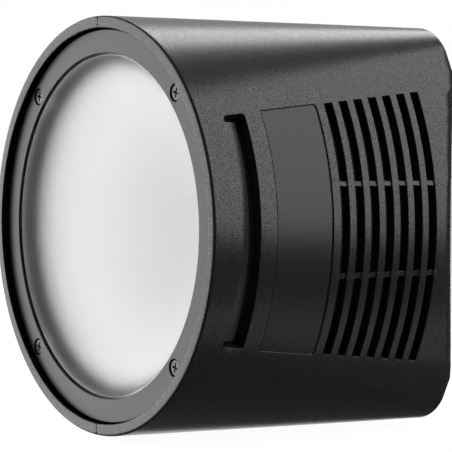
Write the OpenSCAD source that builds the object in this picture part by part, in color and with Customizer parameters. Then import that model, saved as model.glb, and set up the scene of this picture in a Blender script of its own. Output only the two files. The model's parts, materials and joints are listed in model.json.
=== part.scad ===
// Round flash head that plugs onto the end of a pocket strobe's power body.
// The light leaves towards -Y. The origin is the centre of the rear mating face, +Z is up.
// Distances along the head are given as "depth" behind the front rim: depth 0 is the rim.

/* [Casing] */
// Diameter of the round front rim
front_d = 76; // [76:0.5:78]
// Length from the front rim to the rear mating face
body_len = 61; // [60:0.5:63]
// Wall thickness of the casing
wall = 1.9; // [1.7:0.1:1.9]
// Width of the rear mating face
rear_w = 53.6; // [52:0.2:55]
// Height of the rear mating face
rear_h = 74.1; // [74:0.1:75]

/* [Front] */
// Diameter of the clear opening in the bezel
opening_d = 62.8; // [61:0.2:63.4]
// How far the bezel sits behind the rim
bezel_recess = 1.3; // [1:0.1:1.6]
// Thickness of the bezel
bezel_t = 1.8; // [1.6:0.1:2]
// Radius of the circle on which the bezel screws sit
screw_circle_r = 33.6; // [33.5:0.1:33.8]

/* [Cooling slots] */
// Number of slots on each side
slot_count = 7; // [4:1:7]
// Distance from one slot to the next
slot_pitch = 3.44; // [3:0.02:3.5]
// Width of a slot
slot_w = 1.85; // [1.2:0.05:2]

/* [Release levers] */
// Diameter of the steel pin that a lever turns on
pivot_d = 2; // [1.6:0.1:2.2]

/* [Contacts] */
// Diameter of the two power pins
power_pin_d = 4; // [3:0.2:4.4]
// Diameter of the three signal pins
signal_pin_d = 2; // [1.6:0.1:2.4]

/* [Hidden] */
$fn = 96;

// Casing form
front_r = front_d / 2;
side_r = 52;              // radius of the two broad side faces
side_tilt = 2.9;          // the side faces close in towards the rear by this angle
corner_r = front_r + 3.8; // the corners swell to this radius at the rear
rim_edge = 0.45;          // chamfer on the front rim
facet_depth = 53.5;       // the rear facets start this far behind the rim
facet_top_x = 35.3;       // half width where a facet starts
facet_run = body_len - facet_depth;
facet_fall = facet_top_x - rear_w / 2;
facet_nx = facet_run / norm([facet_run, facet_fall]);
facet_ny = facet_fall / norm([facet_run, facet_fall]);
over = 2;                 // overshoot of a cut past a face
gap = 0.2;                // assembly gap between a part and the casing

// Features on the broad sides, as depths behind the rim
trim_slope = 0.108;       // the ends of all side features lie on two lines that spread by this
trim_start = 19.17;       // half height of those lines at the rim
rib_z = 8.17;             // height of the two ribs that cross the slots
rib_t = 0.9;
first_slot = 28.65;
label_front = 13.5;
label_rear = 25.9;
label_over = 0.28;        // the label reaches this far past the trim lines
label_recess = 0.25;
label_t = 0.15;
notch_front = 5.6;
notch_sill = 8.1;
notch_rear = 9.7;
notch_half = 19.9;
notch_end_gap = 1.3;

// Light chamber, as depths behind the rim
bezel_back = bezel_recess + bezel_t;
bezel_edge = 0.15;        // chamfer on the bezel
bezel_gap = 0.45;         // between the bezel and the casing
bezel_outer_r = front_r - wall - bezel_gap;
magnet_outer_r = bezel_outer_r - 0.75;
magnet_inner_r = magnet_outer_r - 1.5;
lens_front = bezel_recess + 0.7;
lens_back = 6.2;
lens_edge = 0.4;          // chamfer on the glass
lens_plug_r = opening_d / 2 - 0.3;
lens_flange_r = 32.6;
boss_r = 2.5;
shelf_front = 7.8;
shelf_back = 9;
shelf_r = 29.9;
flange_t = 0.8;           // rim of the reflector, held between gasket and shelf
flange_r = 30.9;
barrel_r = 34.6;
barrel_inner_r = 32.9;
flange_front = 11.1;
flange_back = 12.6;
cone_front = 17;
cone_back = 33.5;
cone_r = 20.5;
barrel_end = 36;
holder_end = 39.5;
bowl_vertex = 32.4;       // depth of the reflector's vertex
bowl_focus = 8.425;       // focal length of the reflector
bowl_t = 0.8;
bowl_floor = 30;          // the bowl is flat from here
bowl_steps = 12;
tube_depth = 22;
tube_ring_r = 12;
tube_r = 2.75;
tube_wall = 0.7;
elbow_r = 2.85;           // the ring runs into each leg through a rounded elbow
leg_r = 2.6;
leg_angle = 17;           // half angle of the gap in the tube's ring
leg_end = 40.5;
band_gap = 34;            // half angle of the gap in the trigger band

// Rear, as depths behind the rim
board_front = 46.5;
board_t = 1.2;
sensor_x = 5.6;
sensor_z = -4;
plate_front = 50.5;
plate_t = 2;
plate_back = plate_front + plate_t;
block_back = 53.5;
pin_tip = 60.3;
pin_seat = 3;             // depth of a pin's barrel in the block
barrel_step = 0.4;        // a barrel's radius is this much larger than the pin's
sheet_r = 30;
sheet_t = 0.4;
sheet_front = 23;
sheet_half = 24;
plate_screw_x = 15;
plate_screw_z = 28;
board_screw_x = 16;
board_screw_z = 17;

// Release levers
pivot_depth = 53.6;
pivot_z = 33;
pad_front = 43;
pad_rear = 49.9;
pad_half = 5.2;
pad_top_z = 36.8;
window_gap = 0.4;
arm_low_z = 31.5;
arm_high_z = 33.6;
arm_half = 4.6;
hook_tip = 60.2;
ear_inner_x = 5;
ear_t = 2;
spring_depth = 45.5;
spring_seat_z = 27;
spring_r = 2;
spring_wire_r = 0.28;
spring_turns = 4;

function depth_y(depth) = depth - body_len;
function trim_half(depth) = trim_start + trim_slope * depth;

// Children are drawn with their Z axis along the head and Z = 0 at the front rim.
module along_head() translate([0, -body_len, 0]) rotate([-90, 0, 0]) children();
// A ring or tube around the head's axis; profile points are [radius, depth].
module turned(profile) along_head() rotate_extrude() polygon(profile);
// A round rod parallel to the axis, between two depths.
module rod(x, z, r, from, to)
    translate([x, depth_y(from), z]) rotate([-90, 0, 0]) cylinder(h = to - from, r = r);
// A round rod across the head, centred on x = 0.
module cross_rod(depth, z, r, half)
    translate([-half, depth_y(depth), z]) rotate([0, 90, 0]) cylinder(h = 2 * half, r = r);
// A box given by its depth range.
module slab(x0, x1, from, to, z0, z1)
    translate([min(x0, x1), depth_y(from), min(z0, z1)]) cube([abs(x1 - x0), to - from, abs(z1 - z0)]);
module four_corners(x, z) for (sx = [-1, 1], sz = [-1, 1]) translate([sx * x, 0, sz * z]) children();
module at_screw_angles()
    for (i = [0:3]) rotate([0, 45 + 90 * i, 0]) translate([screw_circle_r, 0, 0]) children();

// ---- casing ----

// The solid form of the casing, drawn in by inset all round and extended at both ends by extra.
module envelope(inset = 0, extra = 0) {
    intersection() {
        along_head() rotate_extrude()
            polygon([
                [0, -extra], [front_r - inset - (extra > 0 ? 0 : rim_edge), -extra],
                [front_r - inset, extra > 0 ? -extra / 2 : rim_edge],
                [corner_r - inset, body_len + extra], [0, body_len + extra]
            ]);
        side_faces(inset);
        rotate([90, 0, 90]) linear_extrude(height = 2 * front_d, center = true)
            polygon([
                [-body_len - extra, -front_r + inset], [-body_len - extra, front_r - inset],
                [extra, rear_h / 2 - inset], [extra, -rear_h / 2 + inset]
            ]);
        linear_extrude(height = 2 * front_d, center = true)
            polygon([
                [-front_d, -body_len - extra], [front_d, -body_len - extra],
                [front_d, facet_y(front_d, inset)], [facet_x(extra, inset), extra],
                [-facet_x(extra, inset), extra], [-front_d, facet_y(front_d, inset)]
            ]);
    }
}
function facet_x(y, inset) = rear_w / 2 - (inset + facet_ny * y) / facet_nx;
function facet_y(x, inset) = -(inset + facet_nx * (x - rear_w / 2)) / facet_ny;
module side_faces(inset) {
    intersection_for (s = [-1, 1])
        translate([s * (front_r - side_r), -body_len, 0]) rotate([0, 0, s * side_tilt])
            translate([0, -10, 0]) rotate([-90, 0, 0])
                cylinder(h = body_len + 20, r = side_r - inset, $fn = 180);
}

// The label's part of a side face: its ends follow the spreading trim lines.
module label_prism(inset = 0) {
    front_end = trim_half(label_front) + label_over - inset;
    rear_end = trim_half(label_rear) + label_over - inset;
    front_y = depth_y(label_front) + inset;
    rear_y = depth_y(label_rear) - inset;
    rotate([90, 0, 90]) linear_extrude(height = front_d)
        polygon([[front_y, -front_end], [front_y, front_end], [rear_y, rear_end], [rear_y, -rear_end]]);
}

module cooling_slots() {
    rib_inner = rib_z - rib_t / 2;
    rib_outer = rib_z + rib_t / 2;
    for (i = [0:slot_count - 1]) {
        depth = first_slot + i * slot_pitch;
        end_z = trim_half(depth);
        for (span = [[-end_z, -rib_outer], [-rib_inner, rib_inner], [rib_outer, end_z]])
            slab(10, front_r + over, depth - slot_w / 2, depth + slot_w / 2, span[0], span[1]);
    }
}

// A finger notch: a sloping sill that runs down to an open gap.
module side_notch() {
    slab(20, front_r + over, notch_sill, notch_rear, -notch_half, notch_half);
    for (s = [-1, 1]) {
        inner = notch_half - notch_end_gap;
        slab(20, front_r + over, notch_front, notch_sill, s * inner, s * notch_half);
    }
    intersection() {
        slab(20, front_r + over, notch_front, notch_sill, -notch_half, notch_half);
        turned([
            [front_r + 3, notch_front], [front_r - 0.2, notch_front],
            [front_r - 1.6, notch_sill], [front_r + 3, notch_sill]
        ]);
    }
}

module button_window(s)
    slab(
        -pad_half - window_gap, pad_half + window_gap, pad_front - 2 * window_gap, pad_rear + window_gap,
        s * (rear_h / 2 - wall - 1), s * (front_r + 1)
    );

// Rings inside the casing that hold the light chamber's flange, and the pair that holds the rear plate.
module inner_ribs() {
    for (from = [flange_front - 1.2, flange_back + 0.1])
        rib_ring(from, from + 1.1, 2) along_head() cylinder(h = body_len, r = barrel_r + gap);
    rib_ring(plate_front - 1.2, plate_front - 0.1, 2) plate_opening(2.2);
    rib_ring(plate_back + 0.1, plate_back + 0.9, 2) plate_opening(1.4);
}
// A slice of the casing's inside, of which the children are cut away.
module rib_ring(from, to, cover) difference() {
    intersection() {
        envelope(wall - 0.2, cover);
        slab(-front_d, front_d, from, to, -front_d, front_d);
    }
    children();
}
module plate_opening(width) {
    envelope(wall + width, over);
    slab(-9, 9, plate_front - 3, plate_back + 3, -front_d, front_d);
}

module screw_posts() {
    for (sz = [-1, 1]) difference() {
        union() {
            rod(plate_screw_x, sz * plate_screw_z, boss_r, plate_front - 7, plate_front);
            slab(
                plate_screw_x, 25.6, plate_front - 7, plate_front,
                sz * plate_screw_z - 0.7, sz * plate_screw_z + 0.7
            );
        }
        rod(plate_screw_x, sz * plate_screw_z, 1.05, plate_front - 6, plate_front + 1);
    }
}

// One half of the casing, on the +X side of the parting plane.
module half_casing(labelled) {
    difference() {
        union() {
            difference() {
                envelope();
                envelope(wall, over);
            }
            inner_ribs();
            intersection() {
                screw_posts();
                envelope(wall / 2, over);
            }
        }
        slab(-front_d, 0, -over, body_len + over, -front_d, front_d);
        cooling_slots();
        side_notch();
        for (s = [-1, 1]) button_window(s);
        if (labelled) difference() {
            label_prism();
            envelope(label_recess, over);
        }
    }
}
module housing_right() color("#2b2b2c") half_casing(true);
module housing_left() color("#2b2b2c") mirror([1, 0, 0]) half_casing(false);

module info_label() color("#3a3a3c") intersection() {
    difference() {
        envelope(label_recess - label_t, over);
        envelope(label_recess, over);
    }
    label_prism(0.12);
}

// ---- front ----

module front_bezel() color("#7d7d7d") difference() {
    turned([
        [opening_d / 2, bezel_recess], [bezel_outer_r - bezel_edge, bezel_recess],
        [bezel_outer_r, bezel_recess + bezel_edge], [bezel_outer_r, bezel_back], [opening_d / 2, bezel_back]
    ]);
    at_screw_angles() {
        rod(0, 0, 0.95, bezel_recess - 1, bezel_back + 1, $fn = 32);
        rod(0, 0, 1.6, bezel_recess - 1, bezel_recess + 1, $fn = 48);
    }
}

// A small cross-recess screw, head at Z = 0 and shank towards +Z.
module cross_screw(head_r, head_h, shank_r, length) difference() {
    union() {
        cylinder(h = head_h, r = head_r, $fn = 48);
        cylinder(h = length, r = shank_r, $fn = 32);
    }
    for (turn = [0, 90]) rotate([0, 0, turn])
        translate([-0.62 * head_r, -0.13 * head_r, -1])
            cube([1.24 * head_r, 0.26 * head_r, 1 + 0.6 * head_h]);
}
module bezel_screws() color("#3c3c3e")
    translate([0, depth_y(bezel_recess + 0.25), 0]) at_screw_angles()
        rotate([-90, 0, 0]) cross_screw(1.35, 0.7, 0.75, 6.5);

// Four curved magnets under the bezel that hold clip-on light shapers.
module accessory_magnets() color("#b9bbbd")
    magnet_arcs(magnet_inner_r, magnet_outer_r, bezel_back, bezel_back + 1.9, 36);
module magnet_arcs(r0, r1, from, to, half_angle) {
    for (i = [0:3]) rotate([0, 90 * i, 0]) along_head()
        rotate([0, 0, -half_angle]) rotate_extrude(angle = 2 * half_angle)
            translate([r0, from]) square([r1 - r0, to - from]);
}

module front_lens() color("#e4e4e2") difference() {
    turned([
        [0, lens_front], [lens_plug_r - lens_edge, lens_front], [lens_plug_r, lens_front + lens_edge],
        [lens_plug_r, bezel_back + 0.1], [lens_flange_r, bezel_back + 0.1],
        [lens_flange_r, lens_back], [0, lens_back]
    ]);
    at_screw_angles() rod(0, 0, boss_r + 0.3, 0, 10, $fn = 64);
}

module lens_gasket() color("#4a4a4a")
    turned([
        [flange_r - 1.5, lens_back], [flange_r, lens_back],
        [flange_r, shelf_front - flange_t], [flange_r - 1.5, shelf_front - flange_t]
    ]);

// ---- light chamber ----

module lens_barrel() color("#1f1f20") difference() {
    union() {
        turned([
            [barrel_inner_r, bezel_back], [bezel_outer_r - 0.1, bezel_back],
            [bezel_outer_r - 0.1, 5.2], [barrel_r, 5.2], [barrel_r, flange_front],
            [barrel_r + 0.6, flange_front], [barrel_r + 0.6, flange_back],
            [barrel_r, flange_back], [barrel_r, cone_front], [cone_r, cone_back], [cone_r, barrel_end],
            [cone_r - 4.7, barrel_end], [cone_r - 4.7, cone_back], [barrel_inner_r, cone_front - 0.9],
            [barrel_inner_r, shelf_back], [shelf_r, shelf_back],
            [shelf_r, shelf_front], [barrel_inner_r, shelf_front]
        ]);
        intersection() {
            at_screw_angles() rod(0, 0, boss_r, bezel_back, bezel_back + 6, $fn = 64);
            along_head() cylinder(h = 20, r = bezel_outer_r - 0.1);
        }
    }
    at_screw_angles() rod(0, 0, 0.8, bezel_back - 1, bezel_back + 5.2, $fn = 32);
    magnet_arcs(magnet_inner_r - 0.05, magnet_outer_r + 0.05, bezel_back - 0.5, bezel_back + 1.95, 36.3);
    translate([0, depth_y(barrel_end - 2.2), 0]) for (i = [0:2]) rotate([0, 90 + 120 * i, 0])
        translate([18.2, 0, 0]) rotate([-90, 0, 0]) cylinder(h = 5, r = 0.95, $fn = 32);
}

// Radius of the reflector's inner face at a depth.
function bowl_r(depth) = sqrt(4 * bowl_focus * (bowl_vertex - depth));
module reflector() color("#d9dadb") difference() {
    front = shelf_front - flange_t;
    depths = [for (i = [0:bowl_steps]) front + (bowl_floor - front) * i / bowl_steps];
    turned(concat(
        [for (d = depths) [bowl_r(d), d]],
        [[0, bowl_floor], [0, bowl_floor + bowl_t]],
        [[bowl_r(bowl_floor) + bowl_t, bowl_floor + bowl_t]],
        [for (i = [bowl_steps - 1:-1:1]) [bowl_r(depths[i]) + bowl_t, depths[i]]],
        [[bowl_r(shelf_front) + bowl_t, shelf_front], [flange_r, shelf_front], [flange_r, front]]
    ));
    at_legs(15, 20, leg_r + 0.4);
    rod(0, tube_ring_r, 0.8, 24, 32);
}

// The two straight legs of the flash tube, as cuts or rods.
module at_legs(from, length, r) {
    for (s = [-1, 1])
        rod(s * tube_ring_r * sin(leg_angle), -tube_ring_r * cos(leg_angle), r, from, from + length);
}
// The tube's outer form, or its bore when it is shrunk by the wall.
module tube_form(shrink, end) union() {
    translate([0, depth_y(tube_depth), 0]) rotate([-90, 0, 0]) rotate([0, 0, 90 + leg_angle])
        rotate_extrude(angle = 360 - 2 * leg_angle)
            translate([tube_ring_r, 0]) circle(r = tube_r - shrink, $fn = 48);
    for (s = [-1, 1])
        translate([s * tube_ring_r * sin(leg_angle), depth_y(tube_depth), -tube_ring_r * cos(leg_angle)])
            sphere(r = elbow_r - shrink, $fn = 48);
    at_legs(tube_depth, end - tube_depth, leg_r - shrink);
}
module flash_tube() color("#dfe6ea") difference() {
    tube_form(0, leg_end);
    tube_form(tube_wall, leg_end - 1.2);
}
module tube_electrodes() color("#8f9092") at_legs(31, 8.3, leg_r - tube_wall - 0.05);

module tube_holder() color("#e8e4da") difference() {
    rod(0, 0, cone_r - 0.2, barrel_end, holder_end);
    at_legs(barrel_end - 1, 6, leg_r + 0.03);
    rod(0, tube_ring_r, 0.4, barrel_end - 1, holder_end + 1);
    for (i = [0:2]) rotate([0, 90 + 120 * i, 0]) rod(18.2, 0, 1.1, barrel_end - 1, holder_end + 1);
}
module holder_screws() color("#8c8c8e") for (i = [0:2]) rotate([0, 90 + 120 * i, 0])
    translate([18.2, depth_y(holder_end + 1), 0]) rotate([90, 0, 0]) cross_screw(1.8, 1, 0.9, 6);

module trigger_band() color("#b5754a")
    translate([0, depth_y(tube_depth + tube_r + 0.3), 0]) rotate([-90, 0, 0]) rotate([0, 0, 90 + band_gap])
        rotate_extrude(angle = 360 - 2 * band_gap) translate([tube_ring_r, 0]) circle(r = 0.22, $fn = 24);
module trigger_lead() color("#c9c4b4")
    rod(0, tube_ring_r, 0.3, tube_depth + tube_r + 0.5, board_front - 6.2);
module power_leads() color("#a33a2c") at_legs(leg_end, board_front - leg_end, 0.9);

// ---- electronics ----

module trigger_coil() color("#30343a") union() {
    slab(-7, 7, board_front - 6.2, board_front, 6, 18);
    for (s = [-1, 1]) rod(s * 5, 12, 0.5, board_front, board_front + board_t + 0.8);
}
module circuit_board() color("#1e5a36") difference() {
    slab(-20, 20, board_front, board_front + board_t, -21, 21);
    for (s = [-1, 1]) rod(s * 5, 12, 0.55, board_front - 1, board_front + board_t + 1);
    translate([0, depth_y(board_front - 1), 0]) four_corners(board_screw_x, board_screw_z)
        rotate([-90, 0, 0]) cylinder(h = 4, r = 1.1, $fn = 32);
    pin_tails(0.06, board_front - 1, board_front + board_t + 1);
}
module board_parts() color("#262626") {
    rod(-13, -7, 4, board_front - 6, board_front);
    rod(12, -4, 3, board_front - 5, board_front);
    slab(-6, 3, board_front - 1.6, board_front, -20, -14);
    slab(8, 13, board_front - 1.4, board_front, 3, 9);
    for (i = [0:3]) slab(-17 + 3 * i, -15.2 + 3 * i, board_front - 0.8, board_front, 2, 5);
}
module board_screws() color("#8c8c8e") translate([0, depth_y(board_front - 1), 0])
    four_corners(board_screw_x, board_screw_z) rotate([-90, 0, 0]) cross_screw(1.9, 1, 1, 5);
// A bead on the tube holder with two leads to the board.
module thermal_sensor() color("#c27b3a") union() {
    rod(sensor_x, sensor_z, 1.3, holder_end, holder_end + 2);
    for (s = [-1, 1]) rod(sensor_x + 0.6 * s, sensor_z, 0.25, holder_end + 1.5, board_front);
}

// Black insulating card behind the slots, bent around the light chamber.
module insulation_sheet() difference() {
    intersection() {
        rod(0, 0, sheet_r + sheet_t, sheet_front, plate_front);
        slab(0, front_d, 0, body_len, -sheet_half, sheet_half);
    }
    along_head() cylinder(h = body_len + over, r = sheet_r);
}
module insulation_right() color("#151515") insulation_sheet();
module insulation_left() color("#151515") mirror([1, 0, 0]) insulation_sheet();

// ---- rear ----

module rear_plate() color("#232324") difference() {
    union() {
        difference() {
            intersection() {
                envelope(wall + gap, over);
                slab(-front_d, front_d, plate_front, plate_back, -front_d, front_d);
            }
            for (s = [-1, 1]) lever_passage(s);
        }
        translate([0, depth_y(board_front + board_t), 0]) four_corners(board_screw_x, board_screw_z)
            rotate([-90, 0, 0]) cylinder(h = plate_front - board_front - board_t + 0.1, r = 2.4, $fn = 48);
        for (s = [-1, 1]) lever_frame(s);
    }
    slab(-17.2, 17.2, plate_front - 1, plate_back + 1, -11.2, 11.2);
    translate([0, depth_y(board_front), 0]) four_corners(board_screw_x, board_screw_z)
        rotate([-90, 0, 0]) cylinder(h = 5, r = 1.02, $fn = 32);
    translate([0, depth_y(plate_front - 1), 0]) four_corners(plate_screw_x, plate_screw_z)
        rotate([-90, 0, 0]) cylinder(h = plate_t + 2, r = 1.2, $fn = 32);
    for (s = [-1, 1]) cross_rod(pivot_depth, s * pivot_z, pivot_d / 2, 10);
}
module lever_passage(s)
    slab(-ear_inner_x, ear_inner_x, plate_front - 1, plate_back + 1, s * 30, s * (front_r + 1));
// Two ears that carry the pivot pin, and the seat that the return spring stands on.
module lever_frame(s) {
    for (sx = [-1, 1])
        slab(
            sx * ear_inner_x, sx * (ear_inner_x + ear_t), plate_back - 0.5, pivot_depth + 2.2,
            s * 29.5, s * 35.1
        );
    slab(-4, 4, spring_depth - 2.8, plate_front + 0.5, s * (spring_seat_z - 1.5), s * spring_seat_z);
}
module rear_plate_screws() color("#8c8c8e") translate([0, depth_y(plate_back + 1.2), 0])
    four_corners(plate_screw_x, plate_screw_z) rotate([90, 0, 0]) cross_screw(2.1, 1.2, 1, 7.4);

module connector_block() color("#19191a") difference() {
    slab(-17, 17, board_front + board_t, block_back, -11, 11);
    pin_tails(0.02, board_front, block_back - pin_seat);
    pin_barrels(0.02, block_back - pin_seat, block_back + 1);
}
power_pin_xz = [[-11, 0], [11, 0]];
signal_pin_xz = [[-3.5, 5], [3.5, 5], [0, -5]];
module pin_tails(clear, from, to)
    for (p = concat(power_pin_xz, signal_pin_xz)) rod(p[0], p[1], 0.7 + clear, from, to);
module pin_barrels(clear, from, to) {
    for (p = power_pin_xz) rod(p[0], p[1], power_pin_d / 2 + barrel_step + clear, from, to);
    for (p = signal_pin_xz) rod(p[0], p[1], signal_pin_d / 2 + barrel_step + clear, from, to);
}
// A contact pin: a tail soldered into the board, a thicker barrel in the block and a free end.
module contact_pin(p, r) union() {
    tip = 0.6 * r;
    rod(p[0], p[1], 0.7, board_front - 0.4, block_back - pin_seat + 0.5);
    rod(p[0], p[1], r + barrel_step, block_back - pin_seat, block_back);
    rod(p[0], p[1], r, block_back - 0.5, pin_tip - tip);
    translate([p[0], depth_y(pin_tip - tip), p[1]]) rotate([-90, 0, 0])
        cylinder(h = tip, r1 = r, r2 = 0.55 * r);
}
module power_pins() color("#c9a24a") for (p = power_pin_xz) contact_pin(p, power_pin_d / 2);
module signal_pins() color("#c9a24a") for (p = signal_pin_xz) contact_pin(p, signal_pin_d / 2);

// ---- release levers ----

// The upper lever: a ribbed button in front of the pivot and a hook behind it.
module release_lever() difference() {
    union() {
        slab(-arm_half, arm_half, pad_front + 0.9, pivot_depth + 1, arm_low_z, arm_high_z);
        intersection() {
            slab(-pad_half, pad_half, pad_front, pad_rear, arm_high_z - 0.3, pad_top_z);
            cross_rod(pad_rear, arm_high_z, pad_rear - pad_front + 0.9, 10);
        }
        cross_rod(pivot_depth, pivot_z, 2, arm_half);
        slab(-arm_half, arm_half, pivot_depth, hook_tip, arm_low_z, arm_high_z - 0.5);
        rotate([90, 0, 90]) linear_extrude(height = 2 * arm_half, center = true)
            polygon([
                [depth_y(hook_tip - 3.4), arm_low_z + 0.2], [depth_y(hook_tip - 3), arm_low_z - 1.4],
                [depth_y(hook_tip - 2.2), arm_low_z - 1.4], [depth_y(hook_tip), arm_low_z + 0.2]
            ]);
    }
    cross_rod(pivot_depth, pivot_z, pivot_d / 2 + 0.05, 10);
    for (i = [0:3]) cross_rod(pad_front + 1.5 + 1.3 * i, pad_top_z + 0.15, 0.4, 10, $fn = 24);
}
module upper_release_lever() color("#2f2f30") release_lever();
module lower_release_lever() color("#2f2f30") mirror([0, 0, 1]) release_lever();

module pivot_pin(s) cross_rod(pivot_depth, s * pivot_z, pivot_d / 2 - 0.01, ear_inner_x + ear_t);
module upper_pivot_pin() color("#a9abad") pivot_pin(1);
module lower_pivot_pin() color("#a9abad") pivot_pin(-1);

// A coil of round wire that stands on Z = 0 and is length tall; its rings are swept along a helix.
module coil_spring(length, r, wire_r, turns) {
    sides = 6;
    rings = 16 * turns;
    rise = length - 2 * wire_r;
    points = [
        for (i = [0:rings], k = [0:sides - 1])
            let (turn = 360 * turns * i / rings, around = 360 * k / sides, out = r + wire_r * cos(around))
            [out * cos(turn), out * sin(turn), wire_r + rise * i / rings + wire_r * sin(around)]
    ];
    walls = [
        for (i = [0:rings - 1], k = [0:sides - 1])
            let (a = i * sides + k, b = i * sides + (k + 1) % sides) [a, b, b + sides, a + sides]
    ];
    first = [for (k = [sides - 1:-1:0]) k];
    last = [for (k = [0:sides - 1]) rings * sides + k];
    polyhedron(points, concat(walls, [first, last]), convexity = 10);
}
module return_spring() translate([0, depth_y(spring_depth), spring_seat_z])
    coil_spring(arm_low_z - spring_seat_z, spring_r, spring_wire_r, spring_turns);
module upper_return_spring() color("#b4b6b8") return_spring();
module lower_return_spring() color("#b4b6b8") mirror([0, 0, 1]) return_spring();

housing_right();
housing_left();
front_bezel();
bezel_screws();
accessory_magnets();
front_lens();
lens_gasket();
lens_barrel();
reflector();
flash_tube();
tube_electrodes();
tube_holder();
holder_screws();
trigger_band();
trigger_lead();
power_leads();
trigger_coil();
circuit_board();
board_parts();
board_screws();
thermal_sensor();
insulation_right();
insulation_left();
rear_plate();
rear_plate_screws();
connector_block();
power_pins();
signal_pins();
upper_release_lever();
lower_release_lever();
upper_pivot_pin();
lower_pivot_pin();
upper_return_spring();
lower_return_spring();
info_label();
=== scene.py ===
"""Round flash head: the looks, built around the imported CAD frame.

The light leaves towards -Y and +Z is up. The casing's own measures are in millimetres,
as "depth" behind the front rim, and become metres only when a mesh is made.
"""
import json
import math

import bmesh
import bpy
from mathutils import Matrix, Vector


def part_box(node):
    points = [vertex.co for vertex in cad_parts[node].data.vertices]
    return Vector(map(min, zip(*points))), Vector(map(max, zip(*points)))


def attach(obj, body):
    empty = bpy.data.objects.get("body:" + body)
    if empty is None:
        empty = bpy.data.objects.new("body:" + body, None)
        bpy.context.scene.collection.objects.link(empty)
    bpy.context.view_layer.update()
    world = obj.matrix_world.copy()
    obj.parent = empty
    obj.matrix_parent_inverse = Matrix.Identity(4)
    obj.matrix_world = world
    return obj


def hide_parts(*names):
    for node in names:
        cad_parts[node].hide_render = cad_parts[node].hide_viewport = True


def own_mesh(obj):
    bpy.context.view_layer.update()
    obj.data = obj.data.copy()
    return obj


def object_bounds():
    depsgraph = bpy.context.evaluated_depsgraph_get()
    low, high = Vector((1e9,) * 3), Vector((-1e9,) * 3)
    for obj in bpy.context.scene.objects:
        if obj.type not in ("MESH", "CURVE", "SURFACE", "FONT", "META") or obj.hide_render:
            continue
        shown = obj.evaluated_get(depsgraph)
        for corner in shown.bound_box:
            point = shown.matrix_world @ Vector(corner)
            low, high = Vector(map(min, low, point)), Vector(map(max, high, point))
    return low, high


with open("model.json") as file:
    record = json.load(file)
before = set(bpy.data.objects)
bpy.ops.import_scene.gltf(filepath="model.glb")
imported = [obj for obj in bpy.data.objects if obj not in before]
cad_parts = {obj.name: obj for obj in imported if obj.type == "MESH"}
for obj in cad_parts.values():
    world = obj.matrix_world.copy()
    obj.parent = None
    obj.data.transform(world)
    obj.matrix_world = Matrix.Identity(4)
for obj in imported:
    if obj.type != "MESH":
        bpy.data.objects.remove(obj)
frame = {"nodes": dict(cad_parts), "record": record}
cad_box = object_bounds()

MM = 0.001
FRONT_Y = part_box("housing_right")[0].y
BODY_LEN = -FRONT_Y / MM
FRONT_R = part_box("housing_right")[1].z / MM


def depth_of(y):
    """Depth behind the front rim, in millimetres, of a place given in metres."""
    return (y - FRONT_Y) / MM


# ---------------------------------------------------------------- casing form

# The section: a circle at the front rim that grows into a rounded square at the rear.
WALL = 1.9
REAR_HALF_W = 26.8
REAR_HALF_H = 37.05
REAR_CORNER_R = 10.0
SIDE_FALL = 0.0377  # how fast the side draws in with depth, and with its square
SIDE_FALL_SQ = 0.0003
SIDE_R_GROWTH = 0.3324  # how fast the side's arc flattens with depth
TOP_EDGE_X = 12.0

# The slanted cut at the rear, from FACET_X at FACET_DEPTH in to the rear's half width.
FACET_DEPTH = 53.5
FACET_X = 35.3
FACET_BLEND = 1.2

# The front rim.
RIM_FILLET = 0.55
RIM_WALL = 2.1
RIM_WALL_DEPTH = 1.1
RIM_STEP = 0.15

# The seam between the halves: a groove whose floor is nearly closed.
SEAM_HALF_GAP = 0.14
SEAM_INNER_GAP = 0.006
SEAM_GROOVE = 0.35

# The two slanting lines, above and below, on which slots, label and notch end.
TRIM_START = 19.17
TRIM_SLOPE = 0.108

# The cooling slots and the ribs that cross them.
RIB_Z = 8.17
RIB_T = 0.9
RIB_IN = RIB_Z - RIB_T / 2
RIB_OUT = RIB_Z + RIB_T / 2
RIB_SINK = 0.35
SLOT_FIRST = 28.65
SLOT_PITCH = 3.44
SLOT_W = 1.85
SLOT_COUNT = 7
SLOT_ROUND = 0.22

# The label's recess.
LABEL_FRONT = 13.5
LABEL_REAR = 25.9
LABEL_SINK = 0.3
LABEL_OVER = 0.14
LABEL_ROUND = 0.75

# The finger notch: a tongue of the casing slopes down from its front edge to a sill.
NOTCH_FRONT = 5.4
NOTCH_SILL = 7.85
NOTCH_REAR = 9.85
NOTCH_ROUND = 0.6
NOTCH_END = 1.05
NOTCH_DROP = 0.6
NOTCH_SLOPE = 0.15  # the share of the drop that is straight; the rest curves
TONGUE_T = 1.2

# The windows for the release buttons, above and below.
TOP_LINES = [0.0, 1.5, 3.5, 5.6, 7.5, 10.0]
WINDOW_HALF_W = TOP_LINES[3]
WINDOW_GAP = 0.8
WINDOW_FRONT = depth_of(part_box("upper_release_lever")[0].y) - WINDOW_GAP
WINDOW_REAR = SLOT_FIRST + SLOT_PITCH * (SLOT_COUNT - 1) + SLOT_W / 2

# The mesh grid. Past LEAST_DEPTH the side's arc and the corner's arc are two different arcs.
LEAST_DEPTH = 0.02
CORNER_STEPS = 22
ROUND_STEPS = 4
SIDE_SHARE = 0.4
PLAIN_DEPTHS = {2.0, 3.8, 11.0, 12.3}
FACET_LEAD = 1.6
FACET_STEP = 0.35
FACET_ROWS = 26
LAST_STEP = 0.2
ROW_MARGIN = 0.5
TOLERANCE = 0.001


def trim_z(depth):
    """Half height of the lines on which the slots, the label and the notch end."""
    return TRIM_START + TRIM_SLOPE * depth


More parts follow.
